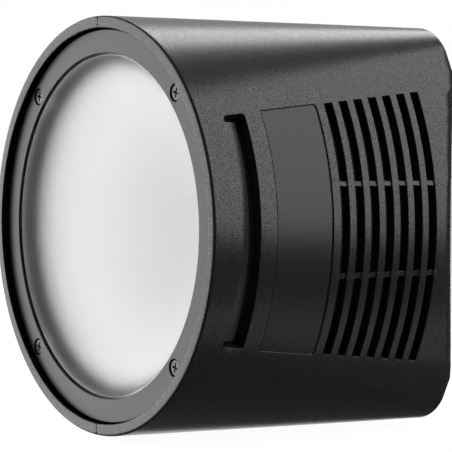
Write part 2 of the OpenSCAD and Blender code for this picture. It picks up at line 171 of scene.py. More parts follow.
def section_sizes(depth):
    """Half width, side radius, corner radius and half height of the casing's section."""
    d = max(depth, LEAST_DEPTH)
    t = d / BODY_LEN
    half_w = FRONT_R - SIDE_FALL * d - SIDE_FALL_SQ * d * d
    side_r = FRONT_R + SIDE_R_GROWTH * d
    corner_r = FRONT_R + (REAR_CORNER_R - FRONT_R) * t
    half_h = FRONT_R + (REAR_HALF_H - FRONT_R) * t
    return half_w, side_r, corner_r, half_h


def corner_x(depth):
    """Where the corner arc's centre lies, which is also where the flat top ends."""
    half_w, side_r, corner_r, half_h = section_sizes(depth)
    run = (side_r - corner_r) ** 2 - (half_h - corner_r) ** 2
    return half_w - side_r + math.sqrt(max(run, 0.0))


def tangent_angle(depth):
    """Angle above the horizontal at which the side arc runs into the corner arc."""
    _, side_r, corner_r, half_h = section_sizes(depth)
    return math.asin(min(1.0, (half_h - corner_r) / (side_r - corner_r)))


def side_point(depth, z):
    """Point (x, z) of the side's arc at a height."""
    half_w, side_r, _, _ = section_sizes(depth)
    return half_w - side_r + math.sqrt(side_r * side_r - z * z), z


def top_point(depth, x):
    """Point (x, z) of the top near the seam."""
    _, _, corner_r, half_h = section_sizes(depth)
    past = x - corner_x(depth)
    if past <= 0:
        return x, half_h
    return x, half_h - corner_r + math.sqrt(corner_r * corner_r - past * past)


def corner_point(depth, share):
    """A point between the top's last line (share 0) and the side arc (share 1)."""
    _, _, corner_r, half_h = section_sizes(depth)
    centre = corner_x(depth)
    flat = max(0.0, centre - TOP_EDGE_X)
    start = math.acos(max(0.0, TOP_EDGE_X - centre) / corner_r)
    length = flat + corner_r * (start - tangent_angle(depth))
    along = share * length
    if along < flat:
        return TOP_EDGE_X + along, half_h
    angle = start - (along - flat) / corner_r
    return centre + corner_r * math.cos(angle), half_h - corner_r + corner_r * math.sin(angle)


def smooth_min(a, b, width):
    """The lesser of two lengths, rounded where they are nearly the same."""
    h = max(width - abs(a - b), 0.0) / width
    return min(a, b) - h * h * width / 4


def facet_limit(depth):
    """The half width that the slanted cut leaves."""
    rise = (FACET_X - REAR_HALF_W) / (BODY_LEN - FACET_DEPTH)
    return REAR_HALF_W + rise * (BODY_LEN - depth)


def spread(low, high, count):
    """count values strictly between low and high, evenly spaced."""
    return [low + (high - low) * (k + 1) / (count + 1) for k in range(count)]


def corner_rows(depth):
    """The two heights between which the notch, the label or the slots round their corners."""
    trim = trim_z(depth)
    if depth < NOTCH_REAR + ROW_MARGIN:
        return trim - NOTCH_ROUND, trim
    if depth < LABEL_REAR + ROW_MARGIN:
        return trim + LABEL_OVER - LABEL_ROUND, trim + LABEL_OVER
    return trim - SLOT_ROUND, trim


def upper_rows(depth):
    """Points (x, z) of the section from the side's middle line up to the seam."""
    trim = trim_z(depth)
    top_side = section_sizes(depth)[1] * math.sin(tangent_angle(depth))
    levels = [0.0, *spread(0, RIB_IN - SLOT_ROUND, 3), RIB_IN - SLOT_ROUND, RIB_IN]
    levels += [RIB_OUT, RIB_OUT + SLOT_ROUND, *spread(RIB_OUT + SLOT_ROUND, trim - NOTCH_END, 4)]
    levels += [trim - NOTCH_END, *corner_rows(depth), trim + (top_side - trim) * SIDE_SHARE]
    rows = [side_point(depth, z) for z in levels]
    rows += [corner_point(depth, 1 - k / CORNER_STEPS) for k in range(CORNER_STEPS + 1)]
    rows += [top_point(depth, x) for x in reversed(TOP_LINES)]
    return rows


def section_rows(depth):
    """The whole half section, from the top seam down to the bottom seam."""
    upper = upper_rows(depth)
    rows = upper[:0:-1] + [(x, -z) for x, z in upper]
    limit = facet_limit(depth)
    return [(max(smooth_min(x, limit, FACET_BLEND), SEAM_HALF_GAP), z) for x, z in rows]


class Patch:
    """A region of the side between two depths and two heights; some of its corners may be round."""

    def __init__(self, front, rear, low, high, radius=0.0, round_front=True, round_rear=True):
        self.front, self.rear = front, rear
        self.low, self.high = low, high
        self.radius = radius
        self.round_front, self.round_rear = round_front, round_rear

    def holds(self, depth, z):
        return self.front < depth < self.rear and self.low(depth) < z < self.high(depth)

    def corner(self, depth, z):
        """(towards front or rear, towards top or bottom) if the place is in a round corner's cell."""
        if not self.radius or not self.holds(depth, z):
            return None
        if depth < self.front + self.radius and self.round_front:
            along = -1
        elif depth > self.rear - self.radius and self.round_rear:
            along = 1
        else:
            return None
        if z > self.high(depth) - self.radius:
            return along, -1
        if z < self.low(depth) + self.radius:
            return along, 1
        return None


# Heights as functions of depth, for the low and high sides of a patch.

def below_trim(inset):
    return lambda depth: trim_z(depth) - inset


def negative(line):
    return lambda depth: -line(depth)


def level(z):
    return lambda depth: z


def slot_patches():
    spans = [(negative(trim_z), level(-RIB_OUT)), (level(-RIB_IN), level(RIB_IN)), (level(RIB_OUT), trim_z)]
    patches = []
    for i in range(SLOT_COUNT):
        centre = SLOT_FIRST + i * SLOT_PITCH
        patches += [Patch(centre - SLOT_W / 2, centre + SLOT_W / 2, *span, SLOT_ROUND) for span in spans]
    return patches


SLOTS = slot_patches()
NOTCH = Patch(NOTCH_FRONT, NOTCH_REAR, negative(trim_z), trim_z, NOTCH_ROUND)
TONGUE = Patch(NOTCH_FRONT, NOTCH_SILL, negative(below_trim(NOTCH_END)), below_trim(NOTCH_END))
LABEL = Patch(
    LABEL_FRONT, LABEL_REAR, negative(below_trim(-LABEL_OVER)), below_trim(-LABEL_OVER), LABEL_ROUND,
    round_front=False,
)


def casing_depths():
    """Depths of the mesh's cross sections: one on each edge that the casing has, and some between."""
    notch_side = NOTCH_FRONT + NOTCH_ROUND
    label_side = LABEL_REAR - LABEL_ROUND
    depths = {0.0, *spread(0, RIM_FILLET, 4), RIM_FILLET, RIM_WALL_DEPTH, RIM_WALL_DEPTH + RIM_STEP}
    depths |= PLAIN_DEPTHS
    depths |= {NOTCH_FRONT, notch_side, *spread(notch_side, NOTCH_SILL, 4), NOTCH_SILL}
    depths |= {NOTCH_REAR - NOTCH_ROUND, NOTCH_REAR}
    depths |= {LABEL_FRONT, *spread(LABEL_FRONT, label_side, 6), label_side, LABEL_REAR}
    for slot in SLOTS:
        depths |= {slot.front, slot.front + SLOT_ROUND, slot.rear - SLOT_ROUND, slot.rear}
    depths |= {WINDOW_FRONT, WINDOW_REAR, *spread(WINDOW_REAR, FACET_DEPTH - FACET_LEAD, 2)}
    depths |= {FACET_DEPTH - FACET_LEAD + k * FACET_STEP for k in range(FACET_ROWS)}
    return sorted({round(d, 4) for d in depths if d <= BODY_LEN - LAST_STEP} | {BODY_LEN})


def in_slot_column(depth):
    return any(slot.front < depth < slot.rear for slot in SLOTS)


def is_rib(depth, z):
    return in_slot_column(depth) and abs(abs(z) - RIB_Z) < RIB_T / 2


def is_open(depth, x, z):
    """Whether the casing has no wall here."""
    if any(slot.holds(depth, z) for slot in SLOTS):
        return True
    if NOTCH.holds(depth, z):
        return not TONGUE.holds(depth, z)
    return WINDOW_FRONT < depth < WINDOW_REAR and x < WINDOW_HALF_W


def sink_of(depth, z, labelled):
    """How deep the casing's face is sunk here."""
    if is_rib(depth, z):
        return RIB_SINK
    return LABEL_SINK if labelled and LABEL.holds(depth, z) else 0.0


def drop_of(depth, z):
    """How far the notch's tongue and the rim's rounded edge lie below the casing's face."""
    if depth < RIM_FILLET:
        rest = RIM_FILLET - depth
        return RIM_FILLET - math.sqrt(RIM_FILLET * RIM_FILLET - rest * rest)
    on_tongue = abs(z) <= trim_z(depth) - NOTCH_END + TOLERANCE
    if NOTCH_FRONT < depth <= NOTCH_SILL and on_tongue:
        t = (depth - NOTCH_FRONT) / (NOTCH_SILL - NOTCH_FRONT)
        return NOTCH_DROP * (NOTCH_SLOPE * t + (1 - NOTCH_SLOPE) * t * t)
    return 0.0


class HalfCasing:
    """One half of the casing as a mesh: cells of a grid, their walls and their inner face."""

    def __init__(self, labelled):
        self.labelled = labelled
        self.depths = casing_depths()
        self.rows = [section_rows(d) for d in self.depths]
        self.bm = bmesh.new()
        self.verts = {}
        self.faces = []

    def place(self, u, v):
        """Point (x, depth, z) at grid coordinates, which may lie inside a cell."""
        i, j = min(int(u), len(self.depths) - 2), min(int(v), len(self.rows[0]) - 2)
        s, t = u - i, v - j
        near = Vector(self.rows[i][j]).lerp(Vector(self.rows[i][j + 1]), t)
        far = Vector(self.rows[i + 1][j]).lerp(Vector(self.rows[i + 1][j + 1]), t)
        x, z = near.lerp(far, s)
        return Vector((x, self.depths[i] + s * (self.depths[i + 1] - self.depths[i]), z))

    def normal(self, u, v):
        """The outward normal of the casing's face at grid coordinates."""
        last_u, last_v = len(self.depths) - 1, len(self.rows[0]) - 1
        along = self.place(min(u + 1, last_u), v) - self.place(max(u - 1, 0), v)
        if v in (0, last_v):
            across = Vector((1 if v == 0 else -1, 0, 0))
        else:
            across = self.place(u, min(v + 1, last_v)) - self.place(u, max(v - 1, 0))
        return across.cross(along).normalized()

    def vert(self, key, sink):
        """A vertex of the outer face at a sink, or of the inner face when sink is None."""
        if (key, sink) not in self.verts:
            point = self.place(*key)
            drop = drop_of(point.y, point.z)
            at_seam = point.x < SEAM_HALF_GAP + TOLERANCE
            if sink is not None:
                drop += sink
            elif point.y <= RIM_WALL_DEPTH:
                drop = RIM_WALL
            else:
                drop = max(WALL, drop + TONGUE_T)
            point -= self.normal(*key) * drop
            point.y = min(max(point.y, 0.0), BODY_LEN)
            if at_seam:
                point.x = SEAM_HALF_GAP if sink == 0.0 else SEAM_INNER_GAP
            place = (point.x * MM, FRONT_Y + point.y * MM, point.z * MM)
            self.verts[key, sink] = self.bm.verts.new(place)
        return self.verts[key, sink]

    def add_cell(self, i, j):
        """Records the faces of one grid cell: none where it is open, two where a round corner cuts it."""
        middle = self.place(i + 0.5, j + 0.5)
        depth, x, z = middle.y, middle.x, middle.z
        sink = sink_of(depth, z, self.labelled)
        cell = [(i, j), (i, j + 1), (i + 1, j + 1), (i + 1, j)]
        corner = None
        for patch in [*SLOTS, NOTCH] + [LABEL] * self.labelled:
            corner = corner or patch.corner(depth, z)
        opened = is_open(depth, x, z)
        if corner is None:
            if not opened:
                self.faces.append((cell, sink))
            return
        solid, rest = split_corner(i, j, corner)
        self.faces.append((solid, 0.0))
        if not opened:
            self.faces.append((rest, sink))

    def groove_floor(self, key):
        """The seam groove's floor vertex as a list, which is empty away from the seam."""
        if key[1] in (0, len(self.rows[0]) - 1):
            return [self.vert(key, SEAM_GROOVE)]
        return []

    def add_wall(self, a, b, sink):
        """Joins the outer face's edge to the inner face's, by way of the groove's floor at the seam."""
        outer = [self.vert(b, sink), self.vert(a, sink)]
        inner = [self.vert(a, None), self.vert(b, None)]
        floor_a, floor_b = self.groove_floor(a), self.groove_floor(b)
        if floor_a and floor_b:
            self.bm.faces.new(outer + floor_a + floor_b)
            self.bm.faces.new(floor_b + floor_a + inner)
        else:
            self.bm.faces.new(outer + floor_a + inner + floor_b)

    def build(self):
        """Makes the outer and inner faces, the walls round openings and the steps between sinks."""
        for i in range(len(self.depths) - 1):
            for j in range(len(self.rows[0]) - 1):
                self.add_cell(i, j)
        edges = {}
        for keys, sink in self.faces:
            self.bm.faces.new([self.vert(k, sink) for k in keys])
            self.bm.faces.new([self.vert(k, None) for k in reversed(keys)])
            for a, b in zip(keys, keys[1:] + keys[:1]):
                edges[a, b] = sink
        for (a, b), sink in edges.items():
            other = edges.get((b, a))
            if (b, a) not in edges:
                self.add_wall(a, b, sink)
            elif sink < other:
                step = [(b, sink), (a, sink), (a, other), (b, other)]
                self.bm.faces.new([self.vert(*corner) for corner in step])
        return self.bm


def split_corner(i, j, corner):
    """Splits a cell along an arc into the part outside a round corner and the part inside it."""
    along, across = corner
    u0, u1 = (i + 1, i) if along < 0 else (i, i + 1)
    v0, v1 = (j + 1, j) if across < 0 else (j, j + 1)
    arc = []
    for k in range(1, ROUND_STEPS):
        angle = math.pi / 2 * k / ROUND_STEPS
        u = u0 + (u1 - u0) * math.cos(angle)
        v = v0 + (v1 - v0) * math.sin(angle)
        arc.append((round(u, 5), round(v, 5)))
    outside = [(u1, v0), (u1, v1), (u0, v1), *reversed(arc)]
    inside = [(u0, v0), (u1, v0), *arc, (u0, v1)]
    if along * across > 0:
        outside.reverse()
        inside.reverse()
    return outside, inside


# ---------------------------------------------------------------- mesh helpers

BEVEL_SEGMENTS = 2


def new_piece(name, bm, material, bevel=0.0, angle=35.0):
    """Makes an object from a bmesh, with rounded edges and smooth shading."""
    mesh = bpy.data.meshes.new(name)
    bm.to_mesh(mesh)
    bm.free()
    mesh.polygons.foreach_set("use_smooth", [True] * len(mesh.polygons))
    mesh.materials.append(material)
    piece = bpy.data.objects.new(name, mesh)
    bpy.context.scene.collection.objects.link(piece)
    if bevel:
        rounding = piece.modifiers.new("rounding", "BEVEL")
        rounding.width = bevel * MM
        rounding.segments = BEVEL_SEGMENTS
        rounding.limit_method = "ANGLE"
        rounding.angle_limit = math.radians(angle)
        rounding.use_clamp_overlap = False
        rounding.miter_outer = "MITER_SHARP"
        weighted = piece.modifiers.new("flat_faces", "WEIGHTED_NORMAL")
        weighted.keep_sharp = True
        weighted.weight = 100
    return piece


CASING_BEVEL = 0.12


def casing_half(name, labelled, mirrored, material):
    """The right half of the casing, or its mirror image."""
    bm = HalfCasing(labelled).build()
    if mirrored:
        bmesh.ops.scale(bm, vec=(-1, 1, 1), verts=bm.verts)
        bmesh.ops.reverse_faces(bm, faces=bm.faces)
    return new_piece(name, bm, material, bevel=CASING_BEVEL)


SAME_PLACE = 1e-6
FLAT_ANGLE = 0.6
SHARP_ANGLE = 30


def rounded_copy(node, material, bevel):
    """A copy of a CAD node's mesh with its flat faces joined and its edges rounded."""
    bm = bmesh.new()
    bm.from_mesh(frame["nodes"][node].data)
    bmesh.ops.remove_doubles(bm, verts=bm.verts, dist=SAME_PLACE)
    if node not in WIDE_FACED:
        flat = math.radians(FLAT_ANGLE)
        bmesh.ops.dissolve_limit(bm, angle_limit=flat, verts=bm.verts, edges=bm.edges)
    return new_piece(node + "_shape", bm, material, bevel=bevel, angle=SHARP_ANGLE)


def stand_for(piece, node):
    """Puts a piece on its node's body in the node's place."""
    body = next(name for name, members in frame["record"]["behaviour"]["bodies"].items() if node in members)
    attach(piece, body)
    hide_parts(node)
    return piece


LABEL_GAP = 0.22
LABEL_GAP_FRONT = 0.0
LABEL_GAP_REAR = 0.42
LABEL_LIP = 0.09
LABEL_T = 0.24
LABEL_CLEAR = 0.01
LABEL_COLUMNS = 8
LABEL_ROWS = 48
LABEL_BEVEL = 0.04


def label_plate(name, material):
    """A thin plate that lies in the label's recess and follows the casing's side."""
    front = LABEL_FRONT + LABEL_GAP_FRONT
    rear = LABEL_REAR - LABEL_GAP_REAR
    turn = rear - LABEL_ROUND
    depths = [front, front + LABEL_LIP, *spread(front + LABEL_LIP, turn, LABEL_COLUMNS)]
    depths += [turn + LABEL_ROUND * math.sin(math.radians(a)) for a in range(0, 91, 10)]
    bm = bmesh.new()
    layers = []
    for layer_sink in (LABEL_SINK - LABEL_T, LABEL_SINK - LABEL_CLEAR):
        columns = []
        for depth in depths:
            sink = layer_sink - LABEL_LIP * (depth == front and layer_sink < LABEL_T)
            past = max(0.0, depth - turn)
            rounding = LABEL_ROUND - math.sqrt(max(0.0, LABEL_ROUND ** 2 - past ** 2))
            limit = trim_z(depth) + LABEL_OVER - LABEL_GAP - rounding
            column = []
            for k in range(LABEL_ROWS + 1):
                x, z = side_point(depth, limit * (1 - 2 * k / LABEL_ROWS))
                centre = x - math.sqrt(section_sizes(depth)[1] ** 2 - z * z)
                out = Vector((x - centre, z)).normalized() * sink
                place = ((x - out.x) * MM, FRONT_Y + depth * MM, (z - out.y) * MM)
                column.append(bm.verts.new(place))
            columns.append(column)
        layers.append(columns)
    outer, inner = layers
    for a, b, c, d in grid_quads(outer):
        bm.faces.new((a, b, c, d))
    for a, b, c, d in grid_quads(inner):
        bm.faces.new((d, c, b, a))
    for a, b in zip(outline(outer), outline(inner)):
        bm.faces.new((a[1], a[0], b[0], b[1]))
    return new_piece(name, bm, material, bevel=LABEL_BEVEL)


def grid_quads(columns):
    """The quads between neighbouring columns of vertices."""
    for left, right in zip(columns, columns[1:]):
        for k in range(len(left) - 1):
            yield left[k], left[k + 1], right[k + 1], right[k]


def outline(columns):
    """Edges around a grid, in the order in which its quads turn."""
    around = list(columns[0])
    around += [column[-1] for column in columns[1:]]
    around += list(reversed(columns[-1]))[1:]
    around += [column[0] for column in reversed(columns[:-1])]
    return list(zip(around, around[1:]))


SPRING_WIRE = 0.3
SPRING_TURNS = 6.0
SPRING_STEPS = 28
SPRING_SIDES = 10


def spring_rise(turn, height):
    """How high the wire has climbed after some turns; the first and last turns lie closed."""
    wire = SPRING_WIRE * MM
    closed = min(turn, 1.0) + max(0.0, turn - SPRING_TURNS + 1)
    open_share = min(max(turn - 1, 0.0), SPRING_TURNS - 2) / (SPRING_TURNS - 2)
    return 2 * wire * closed + (height - 4 * wire) * open_share


def helix_spring(name, node, material):
    """A coil spring with closed ends, in the place of a CAD spring."""
    low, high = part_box(node)
    wire = SPRING_WIRE * MM
    radius = (high.x - low.x) / 2 - wire
    start, end = low.z + wire, high.z - wire
    centre = (low + high) / 2
    bm = bmesh.new()
    rings = []
    for k in range(int(SPRING_TURNS * SPRING_STEPS) + 1):
        turn = k / SPRING_STEPS
        angle = math.tau * turn
        out = Vector((math.cos(angle), math.sin(angle), 0))
        middle = Vector((centre.x, centre.y, start + spring_rise(turn, end - start))) + out * radius
        ring = []
        for n in range(SPRING_SIDES):
            around = math.tau * n / SPRING_SIDES
            offset = out * wire * math.cos(around) + Vector((0, 0, wire * math.sin(around)))
            ring.append(bm.verts.new(middle + offset))
        rings.append(ring)
    for a, b in zip(rings, rings[1:]):
        for n in range(SPRING_SIDES):
            after = (n + 1) % SPRING_SIDES
            bm.faces.new((a[n], a[after], b[after], b[n]))
    bm.faces.new(list(reversed(rings[0])))
    bm.faces.new(rings[-1])
    return new_piece(name, bm, material)


# ---------------------------------------------------------------- materials

NOISE_MIDDLE = (0.3, 0.7)  # the range in which nearly all of a noise's values lie
WEAR_FROM, WEAR_TO = 0.53, 0.62  # pointiness at which wear starts, and at which it is full
WEAR_MOST = 0.35
WEAR_LIGHTER = 2.2
# Faces turned away from the front lose their shine, which paints shade on the bezel's inner walls.
WALL_FACING, FACE_FACING = 0.3, 0.8  # how far a face must turn to the front to shine
WALL_SHINE, FACE_SHINE = 0.04, 0.5
SPARKLE_MM = 0.16
PATCH_MM = 9
SHADE_SPREAD = 0.14


def new_material(name, color, roughness, metallic=0.0, **sockets):
    """A material whose even values sit on the Principled shader's own sockets."""
    material = bpy.data.materials.new(name)
    material.use_nodes = True
    shader = material.node_tree.nodes["Principled BSDF"]
    shader.inputs["Base Color"].default_value = (*color, 1)
    shader.inputs["Roughness"].default_value = roughness
    shader.inputs["Metallic"].default_value = metallic
    for socket, value in sockets.items():
        shader.inputs[socket.replace("_", " ")].default_value = value
    return material


def add_node(material, kind, **settings):
    """A shader node with some of its sockets or settings set."""
    node = material.node_tree.nodes.new(kind)
    for key, value in settings.items():
        if key in node.inputs:
            node.inputs[key].default_value = value
        else:
            setattr(node, key, value)
    return node


def link(material, source, output, target, socket):
    material.node_tree.links.new(source.outputs[output], target.inputs[socket])


def noise(material, size_mm, detail=3.0, stretch=(1, 1, 1)):
    """Noise whose features are about size_mm across, fixed to the object."""
    place = add_node(material, "ShaderNodeTexCoord")
    scale = add_node(material, "ShaderNodeMapping")
    scale.inputs["Scale"].default_value = stretch
    texture = add_node(material, "ShaderNodeTexNoise", Scale=1000 / size_mm, Detail=detail, Roughness=0.55)
    link(material, place, "Object", scale, "Vector")
    link(material, scale, "Vector", texture, "Vector")
    return texture


def ramp_value(material, source, output, low, high, target, socket):
    """Spreads a noise's values over a socket's range."""
    spread_node = add_node(material, "ShaderNodeMapRange")
    spread_node.inputs["From Min"].default_value = NOISE_MIDDLE[0]
    spread_node.inputs["From Max"].default_value = NOISE_MIDDLE[1]
    spread_node.inputs["To Min"].default_value = low
    spread_node.inputs["To Max"].default_value = high
    link(material, source, output, spread_node, "Value")
    link(material, spread_node, "Result", target, socket)


def add_sparkle(material, size_mm, low, high):
    """Uneven shine, as a fine moulded texture gives."""
    shader = material.node_tree.nodes["Principled BSDF"]
    ramp_value(material, noise(material, size_mm, 0.0), "Fac", low, high, shader, "Specular IOR Level")


def add_grain(material, size_mm, height_mm, strength=1.0, detail=2.0, stretch=(1, 1, 1)):
    """A moulded or ground texture as bump."""
    shader = material.node_tree.nodes["Principled BSDF"]
    texture = noise(material, size_mm, detail, stretch)
    bump = add_node(material, "ShaderNodeBump", Strength=strength, Distance=height_mm * MM)
    link(material, texture, "Fac", bump, "Height")
    link(material, bump, "Normal", shader, "Normal")


def vary(material, size_mm, darker, lighter, rough_low, rough_high):
    """Slow changes of shade and gloss, with lighter worn edges."""
    shader = material.node_tree.nodes["Principled BSDF"]
    texture = noise(material, size_mm)
    shade = add_node(material, "ShaderNodeMix", data_type="RGBA")
    shade.inputs["A"].default_value = (*darker, 1)
    shade.inputs["B"].default_value = (*lighter, 1)
    link(material, texture, "Fac", shade, "Factor")
    edge = add_node(material, "ShaderNodeNewGeometry")
    worn = add_node(material, "ShaderNodeMapRange")
    worn.inputs["From Min"].default_value = WEAR_FROM
    worn.inputs["From Max"].default_value = WEAR_TO
    worn.inputs["To Max"].default_value = WEAR_MOST
    link(material, edge, "Pointiness", worn, "Value")
    wear = add_node(material, "ShaderNodeMix", data_type="RGBA")
    wear.inputs["B"].default_value = (*[min(1.0, c * WEAR_LIGHTER + 0.01) for c in lighter], 1)
    link(material, worn, "Result", wear, "Factor")
    material.node_tree.links.new(shade.outputs["Result"], wear.inputs["A"])
    material.node_tree.links.new(wear.outputs["Result"], shader.inputs["Base Color"])
    ramp_value(material, texture, "Fac", rough_low, rough_high, shader, "Roughness")


def plastic(name, shade, roughness, grain_mm=0.3, grain_height=0.012, strength=0.5, shine=(0.25, 0.75)):
    """A dark moulded plastic with a fine texture."""
    material = new_material(name, (shade, shade, shade), roughness)
    darker, lighter = [shade * (1 - SHADE_SPREAD)] * 3, [shade * (1 + SHADE_SPREAD)] * 3
    vary(material, PATCH_MM, darker, lighter, roughness - 0.006, roughness + 0.008)
    add_grain(material, grain_mm, grain_height, strength)
    add_sparkle(material, SPARKLE_MM, *shine)
    return material


def dull_walls_painted_shade(material):
    """Dulls the shine of faces that turn away from the front. This keeps the lit glass from shining in a
    ring's inner wall, and it is painted shade on that wall.
    """
    shader = material.node_tree.nodes["Principled BSDF"]
    face = add_node(material, "ShaderNodeNewGeometry")
    parts = add_node(material, "ShaderNodeSeparateXYZ")
    facing = add_node(material, "ShaderNodeMath", operation="ABSOLUTE")
    shine = add_node(material, "ShaderNodeMapRange")
    shine.inputs["From Min"].default_value = WALL_FACING
    shine.inputs["From Max"].default_value = FACE_FACING
    shine.inputs["To Min"].default_value = WALL_SHINE
    shine.inputs["To Max"].default_value = FACE_SHINE
    link(material, face, "Normal", parts, "Vector")
    link(material, parts, "Y", facing, 0)
    link(material, facing, "Value", shine, "Value")
    link(material, shine, "Result", shader, "Specular IOR Level")
    return material


def metal(name, color, roughness, brush=(1, 1, 1), grain_mm=0.12):
    """A metal, brushed where brush stretches its grain."""
    material = new_material(name, color, roughness, metallic=1.0)
    vary(material, 4, [c * 0.9 for c in color], color, roughness - 0.05, roughness + 0.08)
    add_grain(material, grain_mm, 0.004, 0.4, stretch=brush)
    return material


def tinted(name, color, roughness, grain_mm=0.25, grain_height=0.006):
    """A coloured resin, rubber or ceramic."""
    material = new_material(name, color, roughness)
    vary(material, 5, [c * 0.85 for c in color], color, roughness - 0.05, roughness + 0.06)
    add_grain(material, grain_mm, grain_height, 0.4)
    return material


def clear_glass(name, color, roughness, ior=1.46):
    """Glass that lets light through; roughness frosts it."""
    material = new_material(name, color, roughness, IOR=ior, Transmission_Weight=1.0)
    add_grain(material, 0.6, 0.002, 0.3)
    return material


def make_materials():
    """One material for each of the record's slots."""
    return {
        "casing_plastic": plastic("casing_plastic", 0.015, 0.27, 0.16, 0.0042, 0.6, (0.2, 0.85)),
        # The bezel's inner walls get painted shade: their shine is dulled by the way they face.
        "bezel_plastic": dull_walls_painted_shade(plastic("bezel_plastic", 0.03, 0.36, 0.2, 0.0015, 0.6)),
        "bezel_screw_steel": metal("bezel_screw_steel", (0.09, 0.09, 0.095), 0.32),
        "magnet_metal": metal("magnet_metal", (0.66, 0.66, 0.68), 0.2),
        "frosted_glass": clear_glass("frosted_glass", (0.96, 0.962, 0.968), 0.74, 1.42),
        "gasket_rubber": tinted("gasket_rubber", (0.35, 0.35, 0.35), 0.6),
        "chamber_plastic": plastic("chamber_plastic", 0.09, 0.6),
        "reflector_metal": tinted("reflector_metal", (0.862, 0.865, 0.87), 0.45, 0.5, 0.01),
        "tube_glass": clear_glass("tube_glass", (0.95, 0.97, 0.98), 0.03),
        "electrode_metal": metal("electrode_metal", (0.4, 0.4, 0.41), 0.4),
        "ceramic": tinted("ceramic", (0.78, 0.75, 0.68), 0.35),
        "screw_steel": metal("screw_steel", (0.55, 0.55, 0.56), 0.3),
        "trigger_wire": metal("trigger_wire", (0.65, 0.42, 0.25), 0.3),
        "silicone_wire": tinted("silicone_wire", (0.65, 0.61, 0.52), 0.5),
        "power_wire": tinted("power_wire", (0.45, 0.05, 0.03), 0.45),
        "coil_resin": tinted("coil_resin", (0.02, 0.022, 0.027), 0.3),
        "board_laminate": tinted("board_laminate", (0.02, 0.13, 0.05), 0.35),
        "component_plastic": tinted("component_plastic", (0.03, 0.03, 0.032), 0.45),
        "sensor_resin": tinted("sensor_resin", (0.5, 0.22, 0.05), 0.3),
        "insulation_card": plastic("insulation_card", 0.012, 0.75),
        "plate_plastic": plastic("plate_plastic", 0.028, 0.5, 0.3, 0.015, 0.5),
        "connector_plastic": plastic("connector_plastic", 0.02, 0.42, 0.2, 0.01, 0.4),
        "contact_gold": metal("contact_gold", (0.83, 0.58, 0.24), 0.22, (1, 6, 1)),
        "lever_plastic": plastic("lever_plastic", 0.026, 0.4, 0.25, 0.01, 0.4),
        "pin_steel": metal("pin_steel", (0.6, 0.6, 0.61), 0.22, (6, 1, 1)),
        "spring_steel": metal("spring_steel", (0.58, 0.58, 0.6), 0.25),
        "label_film": plastic("label_film", 0.016, 0.29, 0.12, 0.003, 0.3, (0.4, 0.52)),
    }


# ---------------------------------------------------------------- pieces

# The radius, in millimetres, to which each CAD node's edges are rounded.
ROUNDING = {
    "front_bezel": 0.05,
    "bezel_screws": 0.06,
    "accessory_magnets": 0.12,
    "front_lens": 0.04,
    "lens_gasket": 0.1,
    "lens_barrel": 0.15,
    "reflector": 0.08,
    "tube_holder": 0.3,
    "holder_screws": 0.08,
    "trigger_coil": 0.5,
    "circuit_board": 0.1,
    "board_parts": 0.15,
    "board_screws": 0.08,
    "thermal_sensor": 0.08,
    "rear_plate": 0.15,
    "rear_plate_screws": 0.1,
    "connector_block": 0.3,
    "power_pins": 0.15,
    "signal_pins": 0.1,
    "upper_release_lever": 0.18,
    "lower_release_lever": 0.18,
    "upper_pivot_pin": 0.12,
    "lower_pivot_pin": 0.12,
    "insulation_right": 0.05,
    "insulation_left": 0.05,
    "tube_electrodes": 0.2,
    "flash_tube": 0.0,
    "trigger_band": 0.0,
    "trigger_lead": 0.0,
    "power_leads": 0.0,
}
# Keeps its small triangles, so that the wear on its edges doesn't spread over its wide face.
WIDE_FACED = ("rear_plate",)
# The bezel screws' turn in degrees, and how the glass is seated, in millimetres.
SCREW_TURN = 57
LENS_EDGE = 0.6
LENS_RIM = 0.85
LENS_RAISE = 0.26
LENS_CHAMFER = 0.1


def turn_screws(piece):
    """Turns the four bezel screws, each about its own axis, so that their crosses sit as tightened."""
    spin = Matrix.Rotation(math.radians(SCREW_TURN), 3, "Y")
    for sx, sz in ((1, 1), (1, -1), (-1, -1), (-1, 1)):
        screw = [v for v in piece.data.vertices if v.co.x * sx > 0 and v.co.z * sz > 0]
        low = Vector(min(v.co[k] for v in screw) for k in range(3))
        high = Vector(max(v.co[k] for v in screw) for k in range(3))
        axis = (low + high) / 2
        for v in screw:
            v.co = axis + spin @ (v.co - axis)


def seat_lens(piece):
    """Brings the glass's face forward and out to the bezel, as the photograph shows it."""
    front = min(v.co.y for v in piece.data.vertices)
    rim = [v for v in piece.data.vertices if v.co.y < front + LENS_EDGE * MM]
    edge_r = max(math.hypot(v.co.x, v.co.z) for v in rim)
    for v in rim:
        radius = math.hypot(v.co.x, v.co.z)
        chamfer = LENS_CHAMFER * MM * (v.co.y < front + LENS_CHAMFER * MM)
        if radius > LENS_RIM * edge_r:
            v.co.x *= (edge_r - chamfer) / radius
            v.co.z *= (edge_r - chamfer) / radius
        v.co.y -= LENS_RAISE * MM


def build_pieces(materials):
    """Makes every piece, each on its node's body and in its record slot's material."""
    slots = {part["node"]: part["material_slot"] for part in frame["record"]["subparts"]}
    for side, labelled, mirrored in (("right", True, False), ("left", False, True)):
        node = "housing_" + side
        half = casing_half(node + "_shape", labelled, mirrored, materials[slots[node]])
        stand_for(half, node)
    plate = label_plate("info_label_shape", materials["label_film"])
    stand_for(plate, "info_label")
    for node, bevel in ROUNDING.items():
        piece = stand_for(rounded_copy(node, materials[slots[node]], bevel), node)
        if node == "bezel_screws":
            turn_screws(piece)
        if node == "front_lens":
            seat_lens(piece)
    for end, joint in (("upper", "upper_release"), ("lower", "lower_release")):
        node = end + "_return_spring"
        spring = helix_spring(node + "_shape", node, materials["spring_steel"])
        stand_for(spring, node)
        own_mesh(spring)


# ---------------------------------------------------------------- stage

